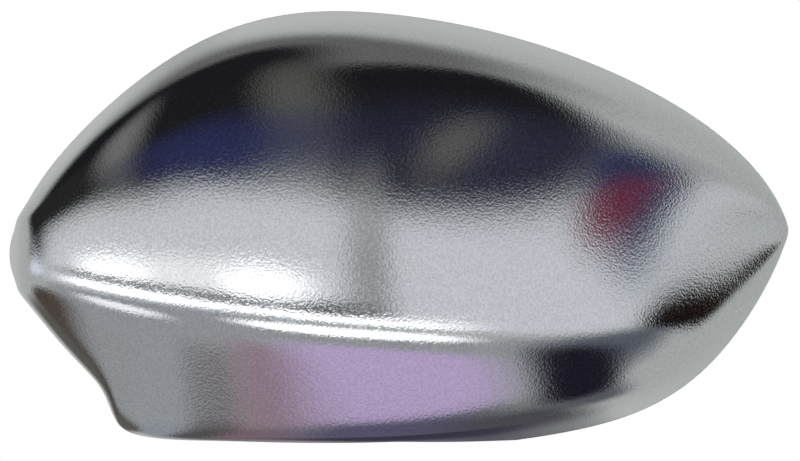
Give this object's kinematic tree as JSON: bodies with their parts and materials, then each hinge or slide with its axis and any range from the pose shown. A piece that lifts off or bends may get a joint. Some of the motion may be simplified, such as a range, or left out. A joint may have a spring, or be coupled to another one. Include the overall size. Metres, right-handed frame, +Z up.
{
  "type": "wing mirror cover",
  "caption": "Plated cover for a car wing mirror: a domed shell with a soft crease, open at the back, with snap hooks and locating pegs inside and an opening for the arm.",
  "frame": {"origin": "on the axis of the main locating peg, in the plane of the rim", "axes": "+Z up and +X outboard to the tip as fitted on the car's left, +Y to the rear, out of the open side and along the pegs"},
  "size_m": [0.2262, 0.0756, 0.1247],
  "materials": {
    "satin_chrome": "satin chrome plating with a fine moulded grain"
  },
  "bodies": {
    "root": {"mirror_cover": "satin_chrome"}
  },
  "joints": []
}
